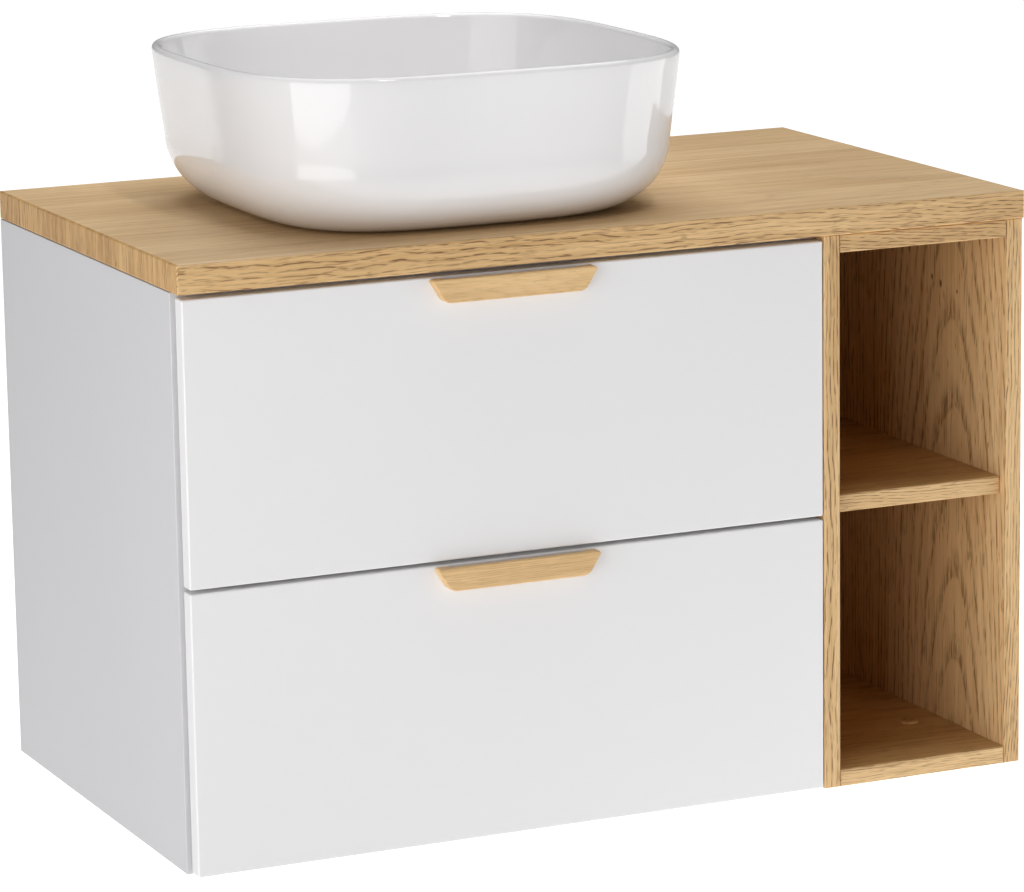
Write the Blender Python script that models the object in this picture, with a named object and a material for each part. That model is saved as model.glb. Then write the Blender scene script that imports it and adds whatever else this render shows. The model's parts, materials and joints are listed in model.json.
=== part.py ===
"""A wall-hung bathroom vanity with a ceramic vessel basin on an oak countertop.

A white cabinet holds two drawers on telescopic runners, and an open oak shelf unit stands beside it.
Metres, +Z up. X runs to the right, -Y to the front, and the wall is the plane y = 0.
The origin is on the back face of the steel wall rail, at the middle of the countertop's width.
"""

from math import cos, pi, radians, sin, tan

import bmesh
import bpy
from mathutils import Matrix, Vector

# Driving dimensions
WIDTH = 0.800  # countertop, left to right
DEPTH = 0.460  # countertop, wall to front edge
COUNTERTOP = 0.025
CABINET_HEIGHT = 0.500
BOARD = 0.016  # melamine board
SHELF_UNIT_WIDTH = 0.200
RAIL_DROP = 0.055  # cabinet top down to the middle of the wall rail
GAP = 0.0003  # between faces that rest on each other

FRONT_SETBACK = 0.003  # countertop edge to drawer front
FRONT_HEIGHT = 0.2455
FRONT_TOP_GAP = 0.0044
FRONT_MID_GAP = 0.0033
FRONT_INSET_LEFT = 0.004
FRONT_INSET_RIGHT = 0.0008
BUMPER_GAP = 0.002  # closed drawer front to cabinet edge
REAR_VOID = 0.020  # rear boards to wall, room for the wall rail
DRAWER_LENGTH = 0.400
DRAWER_SIDE_HEIGHT = 0.118
SHELF_TOP_DROP = 0.260  # countertop's top to the middle shelf's top
SHELF_SETBACK = 0.010

BASIN_X = -0.096
BASIN_Y = -0.248
BASIN_HALF = 0.210
BASIN_HEIGHT = 0.140
BASIN_SQUARENESS = 3.4  # superellipse exponent of the rim
BASIN_SECTORS = 56
WALL = 0.009  # ceramic
DRAIN_HOLE_R = 0.0235

# Levels and faces that follow from them
CABINET_TOP = RAIL_DROP
CABINET_BASE = CABINET_TOP - CABINET_HEIGHT
COUNTERTOP_TOP = CABINET_TOP + COUNTERTOP
LEFT = -WIDTH / 2
RIGHT = WIDTH / 2
SPLIT = RIGHT - SHELF_UNIT_WIDTH  # cabinet's right face
INNER_LEFT = LEFT + BOARD
INNER_RIGHT = SPLIT - BOARD
FRONT_Y = -(DEPTH - FRONT_SETBACK)
FRONT_BACK_Y = FRONT_Y + BOARD
CABINET_FRONT_Y = FRONT_BACK_Y + BUMPER_GAP
DRAWER_BACK_Y = FRONT_BACK_Y + DRAWER_LENGTH
BASIN_BASE = COUNTERTOP_TOP + GAP
BASIN_FLOOR = BASIN_BASE + 0.018

WHITE = ("white_lacquer", (0.80, 0.79, 0.80), 0.32, 0.0)
OAK = ("oak", (0.55, 0.38, 0.18), 0.50, 0.0)
CERAMIC = ("glazed_ceramic", (0.86, 0.85, 0.86), 0.06, 0.0)
CHROME = ("chrome", (0.80, 0.80, 0.82), 0.08, 1.0)
STEEL = ("zinc_plated_steel", (0.60, 0.61, 0.62), 0.35, 1.0)
DRAWER_STEEL = ("drawer_side_enamel", (0.62, 0.63, 0.64), 0.40, 0.0)
GREY_BOARD = ("drawer_board", (0.66, 0.66, 0.66), 0.50, 0.0)
TRAP_PLASTIC = ("trap_plastic", (0.85, 0.85, 0.84), 0.35, 0.0)
RUBBER = ("rubber", (0.03, 0.03, 0.03), 0.75, 0.0)


def clear_scene():
    for item in list(bpy.data.objects):
        bpy.data.objects.remove(item, do_unlink=True)


def material_of(look):
    """One Principled material per look, made when first asked for."""
    name, colour, roughness, metallic = look
    made = bpy.data.materials.get(name)
    if made is None:
        made = bpy.data.materials.new(name)
        made.use_nodes = True
        shader = made.node_tree.nodes["Principled BSDF"]
        shader.inputs["Base Color"].default_value = (*colour, 1.0)
        shader.inputs["Roughness"].default_value = roughness
        shader.inputs["Metallic"].default_value = metallic
        made.diffuse_color = (*colour, 1.0)
    return made


def object_from(name, mesh_data, look, parent=None, smooth=False):
    """Turns a bmesh into a scene object whose origin stays at its parent's."""
    bmesh.ops.recalc_face_normals(mesh_data, faces=mesh_data.faces)
    mesh = bpy.data.meshes.new(name)
    mesh_data.to_mesh(mesh)
    mesh_data.free()
    mesh.materials.append(material_of(look))
    if smooth:
        mesh.shade_smooth()
        mesh.set_sharp_from_angle(angle=radians(35))
    made = bpy.data.objects.new(name, mesh)
    bpy.context.scene.collection.objects.link(made)
    made.parent = parent
    return made


def empty(name):
    """A guide that moving pieces are parented to. It stays at the row's origin, since all joints slide."""
    made = bpy.data.objects.new(name, None)
    bpy.context.scene.collection.objects.link(made)
    return made


def board(name, x, y, z, look, parent=None, edge=0.0006):
    """A rectangular board between (low, high) pairs, with eased edges."""
    data = bmesh.new()
    bmesh.ops.create_cube(data, size=1.0)
    size = Vector((x[1] - x[0], y[1] - y[0], z[1] - z[0]))
    middle = Vector((x[0] + x[1], y[0] + y[1], z[0] + z[1])) / 2
    data.transform(Matrix.Translation(middle) @ Matrix.Diagonal((*size, 1.0)))
    if edge:
        bmesh.ops.bevel(data, geom=list(data.edges), offset=edge, segments=1, affect="EDGES")
    return object_from(name, data, look, parent)


def prism(name, outline, along, span, look, parent=None, edge=0.0):
    """A flat outline pushed along one axis. The outline's pairs are the other two axes, in X, Y, Z order."""
    data = bmesh.new()
    if along == "X":
        points = [(span[0], a, b) for a, b in outline]
        push = (span[1] - span[0], 0, 0)
    elif along == "Y":
        points = [(a, span[0], b) for a, b in outline]
        push = (0, span[1] - span[0], 0)
    else:
        points = [(a, b, span[0]) for a, b in outline]
        push = (0, 0, span[1] - span[0])
    face = data.faces.new([data.verts.new(p) for p in points])
    made = bmesh.ops.extrude_face_region(data, geom=[face])
    moved = [v for v in made["geom"] if isinstance(v, bmesh.types.BMVert)]
    bmesh.ops.translate(data, verts=moved, vec=push)
    if edge:
        bmesh.ops.recalc_face_normals(data, faces=data.faces)
        rims = [e for e in data.edges if e.calc_face_angle(0) > radians(60)]
        bmesh.ops.bevel(data, geom=rims, offset=edge, segments=1, affect="EDGES")
    return object_from(name, data, look, parent)


def turned(name, profile, centre, look, axis="Z", steps=32, parent=None):
    """A closed (radius, height) profile turned about a vertical or a front-to-back axis through centre."""
    data = bmesh.new()
    rings = []
    for radius, height in profile:
        if radius == 0:
            rings.append([data.verts.new((0, 0, height))])
            continue
        angles = [2 * pi * k / steps for k in range(steps)]
        rings.append([data.verts.new((radius * cos(a), radius * sin(a), height)) for a in angles])
    for lower, upper in zip(rings, rings[1:] + rings[:1]):
        if len(lower) + len(upper) > 2:
            stitch(data, lower, upper)
    if axis == "Y":
        data.transform(Matrix.Rotation(-pi / 2, 4, "X"))
    data.transform(Matrix.Translation(centre))
    return object_from(name, data, look, parent, smooth=True)


def stitch(data, lower, upper):
    """Faces between two rings of vertices, where either ring may be a single point."""
    count = max(len(lower), len(upper))
    for k in range(count):
        nxt = (k + 1) % count
        corners = [lower[k % len(lower)], lower[nxt % len(lower)]]
        corners += [upper[nxt % len(upper)], upper[k % len(upper)]]
        data.faces.new(dict.fromkeys(corners))


def cutter(shape):
    shape.hide_render = True
    shape.display_type = "WIRE"
    return shape


def combine(target, tool, operation="DIFFERENCE"):
    """A Boolean that stays on the target, with its tool hidden."""
    cutter(tool)
    step = target.modifiers.new(tool.name, "BOOLEAN")
    step.operation = operation
    step.solver = "EXACT"
    step.object = tool
    return target


def rod(name, radius, centre, length, axis="Z", steps=24):
    """A plain cylinder used as a tool, centred on its middle."""
    profile = [(0, -length / 2), (radius, -length / 2), (radius, length / 2), (0, length / 2)]
    return turned(name, profile, centre, STEEL, axis, steps)


def block(name, x, y, z):
    """A plain box used as a tool."""
    return board(name, x, y, z, STEEL, edge=0)


def arc(centre, radius, start, end, steps):
    """Points on an arc, angles in degrees, ends included."""
    angles = [radians(start + (end - start) * k / steps) for k in range(steps + 1)]
    return [(centre[0] + radius * cos(a), centre[1] + radius * sin(a)) for a in angles]


# Countertop and basin


def make_countertop():
    top = board(
        "countertop", (LEFT, RIGHT), (-DEPTH, 0), (CABINET_TOP, COUNTERTOP_TOP), OAK, edge=0.001
    )
    hole = rod("countertop_drain_hole", DRAIN_HOLE_R, (BASIN_X, BASIN_Y, CABINET_TOP), 0.08)
    return combine(top, hole)


def basin_profile():
    """(half width, height above the base, squareness) of each section, outside first, then inside."""
    square = BASIN_SQUARENESS
    foot = 0.141
    sweep = 0.060
    recess = 0.006
    floor = BASIN_FLOOR - BASIN_BASE
    side = foot + sweep
    sections = [(DRAIN_HOLE_R, recess, 2), (0.113, recess, square), (0.117, 0, square)]
    for k in range(7):
        turn = radians(15 * k)
        sections.append((foot + sweep * sin(turn), sweep * (1 - cos(turn)), square))
    sections += [
        (BASIN_HALF - 0.0005, BASIN_HEIGHT - 0.004, square),
        (BASIN_HALF - 0.0010, BASIN_HEIGHT - 0.0015, square),
        (BASIN_HALF - 0.0040, BASIN_HEIGHT, square),
        (BASIN_HALF - 0.0072, BASIN_HEIGHT - 0.0015, square),
        (BASIN_HALF - 0.0085, BASIN_HEIGHT - 0.005, square),
    ]
    inner_sweep = 0.052
    slope = 0.004
    for k in range(6, -1, -1):
        turn = radians(15 * k)
        half = side - WALL - inner_sweep * (1 - sin(turn))
        sections.append((half, floor + slope + inner_sweep * (1 - cos(turn)), square))
    sections += [(0.036, floor, 2), (DRAIN_HOLE_R, floor, 2)]
    return sections


def superellipse_ring(data, half, height, squareness):
    ring = []
    for k in range(BASIN_SECTORS):
        angle = 2 * pi * k / BASIN_SECTORS
        across, along = abs(cos(angle)), abs(sin(angle))
        reach = half / (across**squareness + along**squareness) ** (1 / squareness)
        x = BASIN_X + reach * cos(angle)
        ring.append(data.verts.new((x, BASIN_Y + reach * sin(angle), BASIN_BASE + height)))
    return ring


def make_basin():
    data = bmesh.new()
    rings = [superellipse_ring(data, *section) for section in basin_profile()]
    for lower, upper in zip(rings, rings[1:] + rings[:1]):
        stitch(data, lower, upper)
    return object_from("basin", data, CERAMIC, smooth=True)


# Drain and trap

DRAIN_TOP = BASIN_FLOOR + 0.0046
TAIL_R = 0.0208
TAIL_BORE = 0.0175
TAIL_END = 0.003
TUBE_R = 0.016
TUBE_BORE = 0.0148
TUBE_HOLE = TUBE_R + 0.0004  # opening that a trap tube passes through
SLIP_NUT_R = 0.027
SLIP_NUT_BORE = 0.0212
BARREL_R = 0.028
CUP_R = 0.0315
TRAP_OUTLET_Z = -0.131
STEM_R = 0.006


def make_drain():
    centre = (BASIN_X, BASIN_Y, 0)
    flange = 0.0325
    web_low, web_high = DRAIN_TOP - 0.036, DRAIN_TOP - 0.032
    profile = [
        (TAIL_BORE, DRAIN_TOP - 0.0008), (TAIL_BORE + 0.0008, DRAIN_TOP),
        (flange - 0.001, DRAIN_TOP), (flange, DRAIN_TOP - 0.001),
        (flange, DRAIN_TOP - 0.0025), (TAIL_R, DRAIN_TOP - 0.0025),
        (TAIL_R, TAIL_END), (TAIL_BORE, TAIL_END),
        (TAIL_BORE, web_low), (STEM_R + 0.0004, web_low),
        (STEM_R + 0.0004, web_high), (TAIL_BORE, web_high),
    ]
    body = turned("drain_body", profile, centre, CHROME, steps=40)
    for k in range(4):
        angle = pi / 4 + k * pi / 2
        place = (BASIN_X + 0.012 * cos(angle), BASIN_Y + 0.012 * sin(angle), web_low)
        combine(body, rod(f"drain_body_flow_hole_{k}", 0.004, place, 0.03, steps=12))
    gasket_low = BASIN_FLOOR + GAP
    turned(
        "drain_flange_gasket",
        [(0.0215, gasket_low), (0.031, gasket_low), (0.031, gasket_low + 0.0015),
         (0.0215, gasket_low + 0.0015)],
        centre, RUBBER, steps=40,
    )
    top = CABINET_TOP - GAP
    turned(
        "drain_lower_gasket",
        [(0.0213, top), (0.0213, top - 0.0035), (0.034, top - 0.0035), (0.034, top)],
        centre, RUBBER, steps=40,
    )
    nut_top = top - 0.0035 - GAP
    corners = [(BASIN_X + x, BASIN_Y + y) for x, y in arc((0, 0), 0.032, 0, 300, 5)]
    nut = prism("drain_lock_nut", corners, "Z", (nut_top - 0.011, nut_top), STEEL, edge=0.001)
    combine(nut, rod("drain_lock_nut_bore", 0.0213, (BASIN_X, BASIN_Y, nut_top), 0.05, steps=40))


def make_drain_cap(parent):
    low = DRAIN_TOP + 0.0006
    profile = [
        (0, low + 0.0052), (0.010, low + 0.0050), (0.020, low + 0.0042), (0.028, low + 0.0028),
        (0.0315, low + 0.0012), (0.0315, low), (STEM_R, low), (STEM_R, low - 0.046), (0, low - 0.046),
    ]
    turned("drain_cap", profile, (BASIN_X, BASIN_Y, 0), CHROME, steps=40, parent=parent)


def make_trap():
    centre = Vector((BASIN_X, BASIN_Y, 0))
    turned(
        "trap_inlet_nut",
        [(SLIP_NUT_BORE, 0.018), (SLIP_NUT_BORE, -0.002), (TUBE_HOLE, -0.002), (TUBE_HOLE, -0.0045),
         (SLIP_NUT_R - 0.002, -0.0045), (SLIP_NUT_R, -0.0025), (SLIP_NUT_R, 0.018)],
        centre, TRAP_PLASTIC,
    )
    turned(
        "trap_inlet_tube",
        [(TUBE_BORE, TAIL_END - GAP), (TUBE_BORE, -0.185), (TUBE_R, -0.185), (TUBE_R, -0.0015),
         (0.0200, -0.0015), (0.0200, TAIL_END - GAP)],
        centre, TRAP_PLASTIC,
    )
    make_trap_body(centre)
    turned(
        "trap_cup",
        [(BARREL_R + 0.0005, -0.155), (BARREL_R + 0.0005, -0.1685), (0.0240, -0.1685), (0.0240, -0.198),
         (0.0190, -0.2085), (0.0100, -0.2125), (0, -0.2130), (0, -0.2155), (0.0110, -0.2150),
         (0.0210, -0.2105), (0.0265, -0.1990), (0.0265, -0.1745), (CUP_R, -0.1725), (CUP_R, -0.155)],
        centre, TRAP_PLASTIC,
    )
    outlet = centre + Vector((0, 0, TRAP_OUTLET_Z))
    turned(
        "trap_outlet_nut",
        [(SLIP_NUT_BORE, 0.034), (SLIP_NUT_R, 0.034), (SLIP_NUT_R, 0.050), (SLIP_NUT_R - 0.002, 0.052),
         (TUBE_HOLE, 0.052), (TUBE_HOLE, 0.0495), (SLIP_NUT_BORE, 0.0495)],
        outlet, TRAP_PLASTIC, axis="Y",
    )
    turned(
        "trap_outlet_pipe",
        [(TUBE_BORE, 0.038), (TUBE_R, 0.038), (TUBE_R, -BASIN_Y), (TUBE_BORE, -BASIN_Y)],
        outlet, TRAP_PLASTIC, axis="Y",
    )


def make_trap_body(centre):
    """A barrel with a neck for the inlet tube and a boss at the back for the outlet pipe."""
    wall = 0.0025
    neck_r = 0.0208
    top, bottom, neck_top = -0.098, -0.168, -0.083
    body = turned(
        "trap_body",
        [(0, bottom), (BARREL_R, bottom), (BARREL_R, top - 0.003), (BARREL_R - 0.003, top),
         (neck_r, top), (neck_r, neck_top), (0, neck_top)],
        centre, TRAP_PLASTIC,
    )
    outlet = centre + Vector((0, 0, TRAP_OUTLET_Z))
    boss = outlet + Vector((0, 0.0315, 0))
    combine(body, rod("trap_body_boss", neck_r, boss, 0.033, "Y", 32), "UNION")
    cavity = centre + Vector((0, 0, (top + bottom) / 2 - 0.006))
    combine(body, rod("trap_body_cavity", BARREL_R - wall, cavity, top - bottom + 0.004, steps=32))
    neck = centre + Vector((0, 0, top))
    combine(body, rod("trap_body_neck_bore", TUBE_R + GAP, neck, 0.06, steps=32))
    mouth = outlet + Vector((0, 0.04, 0))
    combine(body, rod("trap_body_outlet_bore", TUBE_R + GAP, mouth, 0.06, "Y", 32))


# Cabinet, wall fixing and shelf unit


def make_cabinet():
    tall = (CABINET_BASE, CABINET_TOP - GAP)
    deep = (CABINET_FRONT_Y, 0)
    between = (INNER_LEFT + GAP, INNER_RIGHT - GAP)
    rear = (-REAR_VOID - BOARD, -REAR_VOID)
    board("cabinet_side_left", (LEFT, INNER_LEFT), deep, tall, WHITE)
    board("cabinet_side_right", (INNER_RIGHT, SPLIT), deep, tall, WHITE)
    board(
        "cabinet_bottom", between, (CABINET_FRONT_Y, -REAR_VOID), (CABINET_BASE, CABINET_BASE + BOARD), WHITE
    )
    board(
        "cabinet_front_rail", between, (CABINET_FRONT_Y, CABINET_FRONT_Y + 0.080),
        (CABINET_TOP - GAP - BOARD, CABINET_TOP - GAP), WHITE,
    )
    board("cabinet_rear_rail", between, rear, (-0.110, -0.004), WHITE)
    low = CABINET_BASE + BOARD + GAP
    board("cabinet_lower_rail", between, rear, (low, low + 0.090), WHITE)


def make_wall_fixing():
    """A steel rail on the wall, and in each top corner a housing whose hook drops behind the rail's lip."""
    lip_front, lip_back, lip_top = -0.007, -0.005, 0.024
    rail = [(0, -0.020), (0, 0.012), (lip_back, 0.016), (lip_back, lip_top), (lip_front, lip_top),
            (lip_front, 0.015), (-0.002, 0.011), (-0.002, -0.020)]
    prism("wall_rail", rail, "X", (INNER_LEFT + 0.001, INNER_RIGHT - 0.001), STEEL)
    hook = [(-0.060, lip_top + GAP), (-0.0045, lip_top + GAP), (-0.0045, 0.0165), (-0.001, 0.0165),
            (-0.001, 0.034), (-0.060, 0.034)]
    for side, face, inward in (("left", INNER_LEFT, 1), ("right", INNER_RIGHT, -1)):
        near = face + inward * GAP
        far = face + inward * 0.016
        housing = board(
            f"hanger_{side}", sorted((near, far)), (-0.066, -0.012), (0.000, 0.050), STEEL, edge=0.001
        )
        middle = (near + far) / 2
        slot = block(
            f"hanger_{side}_slot", (middle - 0.0025, middle + 0.0025), (-0.063, 0.010), (0.0215, 0.0370)
        )
        combine(housing, slot)
        prism(f"hanger_hook_{side}", hook, "X", (middle - 0.002, middle + 0.002), STEEL)


def make_shelf_unit():
    tall = (CABINET_BASE, CABINET_TOP - GAP)
    deep = (FRONT_Y, 0)
    left_inner = SPLIT + GAP + BOARD
    right_inner = RIGHT - BOARD
    between = (left_inner + GAP, right_inner - GAP)
    rear = -REAR_VOID - BOARD
    shelf_top = COUNTERTOP_TOP - SHELF_TOP_DROP
    board("shelf_unit_side_left", (SPLIT + GAP, left_inner), deep, tall, OAK)
    board("shelf_unit_side_right", (right_inner, RIGHT), deep, tall, OAK)
    board("shelf_unit_back", between, (rear, -REAR_VOID), tall, OAK)
    shelf_deep = (FRONT_Y, rear - GAP)
    board("shelf_unit_top", between, shelf_deep, (tall[1] - BOARD, tall[1]), OAK)
    floor = board("shelf_unit_bottom", between, shelf_deep, (CABINET_BASE, CABINET_BASE + BOARD), OAK)
    board(
        "shelf_unit_shelf", between, (FRONT_Y + SHELF_SETBACK, rear - GAP),
        (shelf_top - BOARD, shelf_top), OAK,
    )
    make_cover_caps(floor, left_inner, right_inner)


def make_cover_caps(floor, left_inner, right_inner):
    """Round caps on the cam connectors that pull the bottom board to the sides."""
    cam_inset = 0.036
    cap_r, stub_r, stub_depth, cap_height = 0.0082, 0.0070, 0.005, 0.0012
    face = CABINET_BASE + BOARD
    for row, y in (("front", -0.345), ("rear", -0.105)):
        for side, x in (("left", left_inner + cam_inset), ("right", right_inner - cam_inset)):
            combine(floor, rod(f"shelf_unit_cam_{row}_{side}", stub_r + GAP, (x, y, face), 0.012, steps=20))
            profile = [
                (0, face + GAP + cap_height), (cap_r - 0.001, face + GAP + cap_height),
                (cap_r, face + GAP + cap_height - 0.0007), (cap_r, face + GAP), (stub_r, face + GAP),
                (stub_r, face - stub_depth), (0, face - stub_depth),
            ]
            turned(f"cover_cap_{row}_{side}", profile, (x, y, 0), OAK, steps=20)


# Drawers and runners

FRONT_X = (LEFT + FRONT_INSET_LEFT, SPLIT - FRONT_INSET_RIGHT)
FRONT_MIDDLE = (FRONT_X[0] + FRONT_X[1]) / 2
HANDLE_TOP_HALF = 0.076
HANDLE_SLANT = 58  # degrees between an end and the horizontal
HANDLE_HEIGHT = 0.0205
HANDLE_PROUD = 0.010
HANDLE_DROP = 0.0015
HANDLE_SCREW_X = 0.045
HANDLE_SCREW_DROP = 0.0155  # handle's top to its screws
SIDE_OUTER = 0.0040  # cabinet wall to drawer side's outer skin
SIDE_INNER = 0.0162
SIDE_SKIN = 0.0012
LEDGE = 0.0062  # height of the ledge that holds the drawer's bottom
LEDGE_REACH = 0.0260
NOTCH_HALF = 0.070
NOTCH_FRONT = -0.305
NOTCH_R = 0.030
GUARD_WALL = 0.003
BACK_TOP = 0.108


def handle_outline(top):
    """Boat shape: wide flat top, ends that slant inward, and large rounds at the lower corners."""
    high_r, low_r = 0.002, 0.010
    facing = HANDLE_SLANT - 90
    high_x, high_z = HANDLE_TOP_HALF - high_r, top - high_r
    low_z = top - HANDLE_HEIGHT + low_r
    # Both rounds touch the same slanted line
    low_x = high_x - (high_z - low_z) / tan(radians(HANDLE_SLANT)) - (low_r - high_r) / cos(radians(facing))
    right = arc((low_x, low_z), low_r, -90, facing, 5)
    right += arc((high_x, high_z), high_r, facing, 90, 4)
    left = [(-x, z) for x, z in reversed(right)]
    return [(FRONT_MIDDLE + x, z) for x, z in right + left]


def make_front(level, top, parent):
    """Drawer front, its oak handle with a finger groove behind the lip, and the handle's two screws."""
    low = top - FRONT_HEIGHT
    front = board(
        f"{level}_drawer_front", FRONT_X, (FRONT_Y, FRONT_BACK_Y), (low, top), WHITE, parent, edge=0.0015
    )
    handle_top = top - HANDLE_DROP
    handle_back = FRONT_Y - GAP
    handle_face = handle_back - HANDLE_PROUD
    handle = prism(
        f"{level}_drawer_handle", handle_outline(handle_top), "Y", (handle_face, handle_back), OAK, parent,
        edge=0.0008,
    )
    groove = block(
        f"{level}_handle_groove", (FRONT_MIDDLE - 0.064, FRONT_MIDDLE + 0.064),
        (handle_back - 0.0048, handle_back + 0.005), (handle_top - 0.009, handle_top + 0.01),
    )
    combine(handle, groove)
    screw_z = handle_top - HANDLE_SCREW_DROP
    for side, sign in (("left", -1), ("right", 1)):
        x = FRONT_MIDDLE + sign * HANDLE_SCREW_X
        bore = rod(f"{level}_handle_bore_{side}", 0.0024, (x, FRONT_Y, screw_z), 0.012, "Y", 16)
        combine(handle, bore)
        combine(front, rod(f"{level}_front_bore_{side}", 0.0024, (x, FRONT_Y, screw_z), 0.06, "Y", 16))
        head = FRONT_BACK_Y + GAP
        profile = [
            (0, -0.0210), (0.0020, -0.0210), (0.0020, 0), (0.0040, 0), (0.0040, 0.0012),
            (0.0030, 0.0022), (0, 0.0022),
        ]
        turned(f"{level}_handle_screw_{side}", profile, (x, head, screw_z), STEEL, "Y", 16, parent)


def make_drawer_side(level, side, base, parent):
    """One folded steel sheet: outer skin, top, inner skin, a bearing strip and the ledge for the bottom."""
    face, inward = (INNER_LEFT, 1) if side == "left" else (INNER_RIGHT, -1)
    outer, inner, skin, high = SIDE_OUTER, SIDE_INNER, SIDE_SKIN, DRAWER_SIDE_HEIGHT
    strip = 0.0205
    section = [
        (outer, 0), (outer, high - 0.002), (outer + 0.002, high), (inner - 0.002, high),
        (inner, high - 0.002), (inner, LEDGE), (LEDGE_REACH, LEDGE), (LEDGE_REACH, LEDGE - skin),
        (inner - skin, LEDGE - skin),
        (inner - skin, strip), (outer + skin + 0.0006, strip), (outer + skin + 0.0006, strip + 0.0015),
        (inner - skin, strip + 0.0015), (inner - skin, high - 0.0025), (inner - skin - 0.0013, high - skin),
        (outer + skin + 0.0013, high - skin), (outer + skin, high - 0.0025), (outer + skin, 0),
    ]
    outline = [(face + inward * u, base + v) for u, v in section]
    prism(
        f"{level}_drawer_side_{side}", outline, "Y", (FRONT_BACK_Y + GAP, DRAWER_BACK_Y), DRAWER_STEEL, parent
    )


def make_runner(level, side, base, middle_parent):
    """The runner hidden in a drawer side: an angle with a track on the cabinet, and a channel over it."""
    face, inward = (INNER_LEFT, 1) if side == "left" else (INNER_RIGHT, -1)
    fixed = [
        (GAP, -0.004), (0.0105, -0.004), (0.0105, 0.016), (0.0090, 0.016), (0.0090, -0.0025),
        (0.0018, -0.0025), (0.0018, 0.036), (GAP, 0.036),
    ]
    channel = [
        (0.0065, -0.0010), (0.0080, -0.0010), (0.0080, 0.0175), (0.0115, 0.0175), (0.0115, -0.0010),
        (0.0130, -0.0010), (0.0130, 0.0190), (0.0065, 0.0190),
    ]
    fixed = [(face + inward * u, base + v) for u, v in fixed]
    channel = [(face + inward * u, base + v) for u, v in channel]
    prism(f"{level}_runner_{side}", fixed, "Y", (CABINET_FRONT_Y + 0.002, DRAWER_BACK_Y - 0.004), STEEL)
    prism(
        f"{level}_runner_middle_{side}", channel, "Y", (CABINET_FRONT_Y + 0.005, DRAWER_BACK_Y - 0.009),
        STEEL, middle_parent,
    )


def notch_outline(grow, front_grow, back):
    """A U open to the back, in plan, widened by grow on each flank and front_grow at its closed end."""
    half, front, radius = NOTCH_HALF + grow, NOTCH_FRONT - front_grow, NOTCH_R + grow
    left = arc((BASIN_X - half + radius, front + radius), radius, 180, 270, 6)
    right = arc((BASIN_X + half - radius, front + radius), radius, 270, 360, 6)
    return [(BASIN_X - half, back)] + left + right + [(BASIN_X + half, back)]


def make_box(level, base, parent, notched):
    """Bottom and back of a drawer. The upper one is notched round the trap and lined with a guard."""
    floor = base + LEDGE + GAP
    across = (INNER_LEFT + SIDE_INNER + GAP, INNER_RIGHT - SIDE_INNER - GAP)
    back_y = (DRAWER_BACK_Y - BOARD, DRAWER_BACK_Y)
    wall_z = (floor + BOARD + GAP, base + BACK_TOP)
    bottom = board(
        f"{level}_drawer_bottom", across, (FRONT_BACK_Y + GAP, DRAWER_BACK_Y), (floor, floor + BOARD),
        GREY_BOARD, parent,
    )
    if not notched:
        board(f"{level}_drawer_back", across, back_y, wall_z, GREY_BOARD, parent)
        return
    notch = notch_outline(0, 0, DRAWER_BACK_Y + 0.02)
    combine(bottom, prism("upper_drawer_notch", notch, "Z", (floor - 0.01, floor + 0.03), STEEL))
    outside = notch_outline(GUARD_WALL, GUARD_WALL, DRAWER_BACK_Y)
    inside = notch_outline(0, 0, DRAWER_BACK_Y)
    prism(
        "upper_drawer_trap_guard", outside + inside[::-1], "Z", wall_z, TRAP_PLASTIC, parent
    )
    guard_half = NOTCH_HALF + GUARD_WALL + GAP
    board("upper_drawer_back_left", (across[0], BASIN_X - guard_half), back_y, wall_z, GREY_BOARD, parent)
    board("upper_drawer_back_right", (BASIN_X + guard_half, across[1]), back_y, wall_z, GREY_BOARD, parent)


def make_drawer(level, top, base, notched):
    drawer = empty(f"{level}_drawer_slide")
    middle = empty(f"{level}_runner_slide")
    make_front(level, top, drawer)
    make_box(level, base, drawer, notched)
    for side in ("left", "right"):
        make_drawer_side(level, side, base, drawer)
        make_runner(level, side, base, middle)


def main():
    clear_scene()
    make_countertop()
    make_basin()
    make_drain()
    make_drain_cap(empty("drain_cap_slide"))
    make_trap()
    make_cabinet()
    make_wall_fixing()
    make_shelf_unit()
    upper_top = CABINET_TOP - FRONT_TOP_GAP
    lower_top = upper_top - FRONT_HEIGHT - FRONT_MID_GAP
    make_drawer("upper", upper_top, upper_top - FRONT_HEIGHT + 0.0149, notched=True)
    make_drawer("lower", lower_top, CABINET_BASE + BOARD + 0.0045, notched=False)


main()
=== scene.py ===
"""A wall-hung bathroom vanity with a ceramic vessel basin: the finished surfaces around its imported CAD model.

Metres, +Z up. X runs to the right, -Y to the front, and the wall is the plane y = 0.
"""

import json
from math import cos, pi, radians, sin, tan

import bmesh
import bpy
from mathutils import Matrix, Vector


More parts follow.
